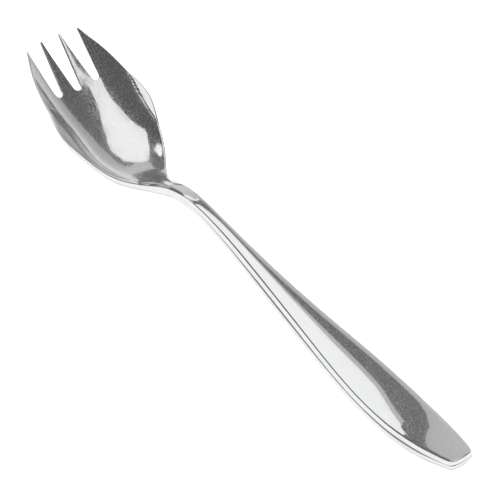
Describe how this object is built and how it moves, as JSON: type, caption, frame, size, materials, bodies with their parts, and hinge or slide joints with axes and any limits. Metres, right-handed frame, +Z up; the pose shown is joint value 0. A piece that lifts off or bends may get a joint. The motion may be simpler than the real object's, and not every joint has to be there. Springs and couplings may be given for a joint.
{
  "type": "oyster fork",
  "caption": "Polished steel oyster fork: a deep spoon-like bowl that ends in short pointed tines, a slim arched neck and a flared flat handle that rests on the table.",
  "frame": {"origin": "middle of the fork's bounding box, at the height of the table it lies on", "axes": "+X from the handle's butt to the tine tips, +Y to the fork's left, +Z up out of the bowl"},
  "size_m": [0.146, 0.0244, 0.0174],
  "materials": {
    "polished_steel": "mirror-polished stainless steel with fine wear scratches"
  },
  "bodies": {
    "root": {"handle": "polished_steel", "neck": "polished_steel", "bowl": "polished_steel", "tine_outer_left": "polished_steel", "tine_inner_left": "polished_steel", "tine_inner_right": "polished_steel", "tine_outer_right": "polished_steel"}
  },
  "joints": []
}
